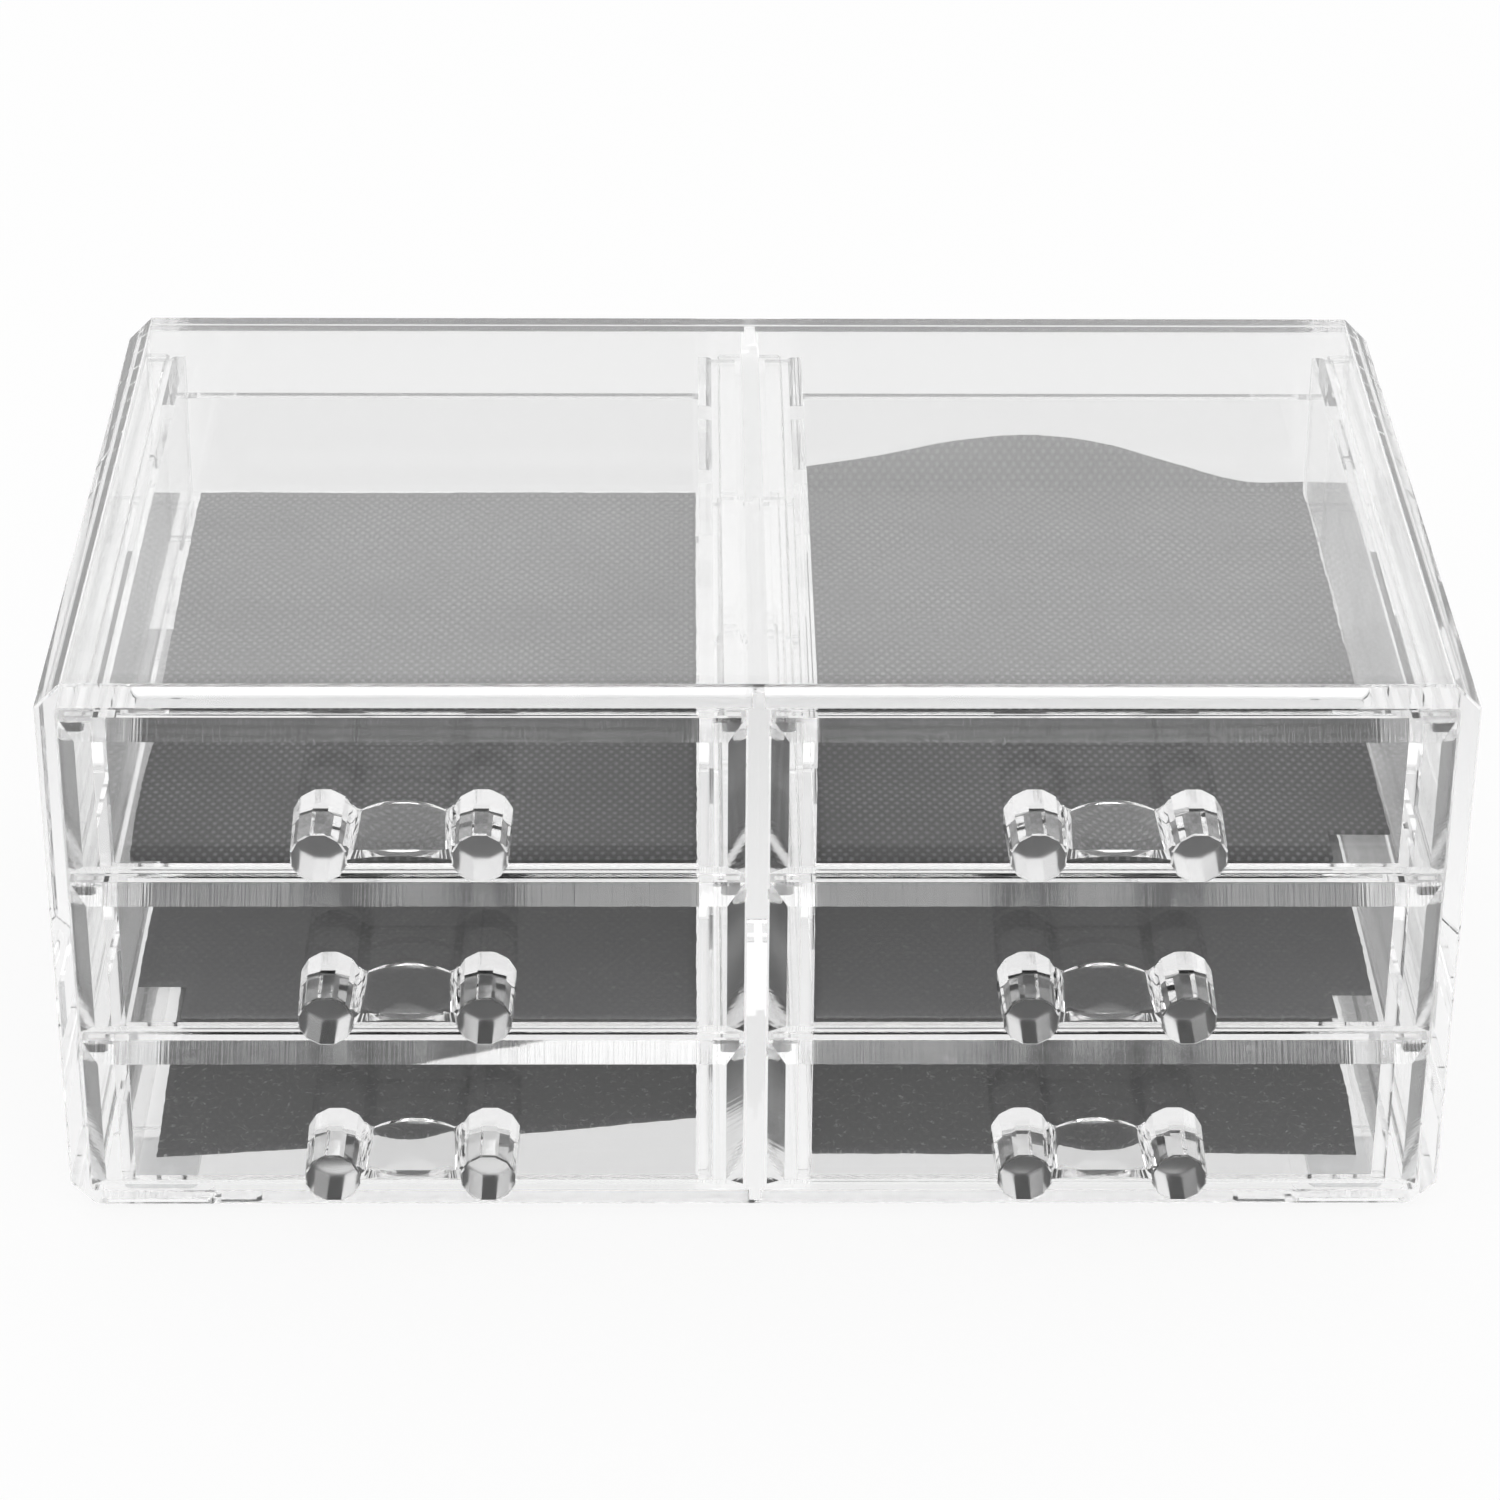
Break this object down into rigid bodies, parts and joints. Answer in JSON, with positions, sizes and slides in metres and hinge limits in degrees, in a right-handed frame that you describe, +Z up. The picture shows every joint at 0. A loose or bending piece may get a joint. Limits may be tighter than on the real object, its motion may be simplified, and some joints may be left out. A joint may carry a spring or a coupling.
{
  "type": "drawer organizer",
  "caption": "Clear free-standing organizer box with bevelled edges, rows of hanging drawers on runners, faceted two-post handles and dark fabric drawer liners.",
  "frame": {"origin": "on the surface that the foot pads rest on, under the middle of the whole object with its handles", "axes": "+X to the right seen from the front, +Y from the drawer fronts to the back, +Z up"},
  "size_m": [0.24, 0.1674, 0.1053],
  "materials": {
    "case_acrylic": "clear polished acrylic",
    "drawer_acrylic": "clear moulded acrylic, polished",
    "handle_acrylic": "clear moulded acrylic, sharp facets",
    "liner_fabric": "thin non-woven mat with embossed dots, charcoal black",
    "foot_vinyl": "clear soft vinyl"
  },
  "bodies": {
    "case": {"case_shell": "case_acrylic", "rear_panel": "case_acrylic", "centre_divider": "case_acrylic", "runner_left_wall_bottom": "case_acrylic", "runner_divider_left_bottom": "case_acrylic", "runner_divider_right_bottom": "case_acrylic", "runner_right_wall_bottom": "case_acrylic", "runner_left_wall_middle": "case_acrylic", "runner_divider_left_middle": "case_acrylic", "runner_divider_right_middle": "case_acrylic", "runner_right_wall_middle": "case_acrylic", "runner_left_wall_top": "case_acrylic", "runner_divider_left_top": "case_acrylic", "runner_divider_right_top": "case_acrylic", "runner_right_wall_top": "case_acrylic", "foot_pads": "foot_vinyl"},
    "bottom_left_drawer": {"drawer_bottom_left": "drawer_acrylic", "handle_bottom_left": "handle_acrylic", "liner_bottom_left": "liner_fabric"},
    "bottom_right_drawer": {"drawer_bottom_right": "drawer_acrylic", "handle_bottom_right": "handle_acrylic", "liner_bottom_right": "liner_fabric"},
    "middle_left_drawer": {"drawer_middle_left": "drawer_acrylic", "handle_middle_left": "handle_acrylic", "liner_middle_left": "liner_fabric"},
    "middle_right_drawer": {"drawer_middle_right": "drawer_acrylic", "handle_middle_right": "handle_acrylic", "liner_middle_right": "liner_fabric"},
    "top_left_drawer": {"drawer_top_left": "drawer_acrylic", "handle_top_left": "handle_acrylic", "liner_top_left": "liner_fabric"},
    "top_right_drawer": {"drawer_top_right": "drawer_acrylic", "handle_top_right": "handle_acrylic", "liner_top_right": "liner_fabric"}
  },
  "joints": [
    {"name": "bottom_left_slide", "type": "slide", "parent": "case", "child": "bottom_left_drawer", "axis": [0, -1, 0], "range_m": [0, 0.11]},
    {"name": "bottom_right_slide", "type": "slide", "parent": "case", "child": "bottom_right_drawer", "axis": [0, -1, 0], "range_m": [0, 0.11]},
    {"name": "middle_left_slide", "type": "slide", "parent": "case", "child": "middle_left_drawer", "axis": [0, -1, 0], "range_m": [0, 0.11]},
    {"name": "middle_right_slide", "type": "slide", "parent": "case", "child": "middle_right_drawer", "axis": [0, -1, 0], "range_m": [0, 0.11]},
    {"name": "top_left_slide", "type": "slide", "parent": "case", "child": "top_left_drawer", "axis": [0, -1, 0], "range_m": [0, 0.11]},
    {"name": "top_right_slide", "type": "slide", "parent": "case", "child": "top_right_drawer", "axis": [0, -1, 0], "range_m": [0, 0.11]}
  ]
}
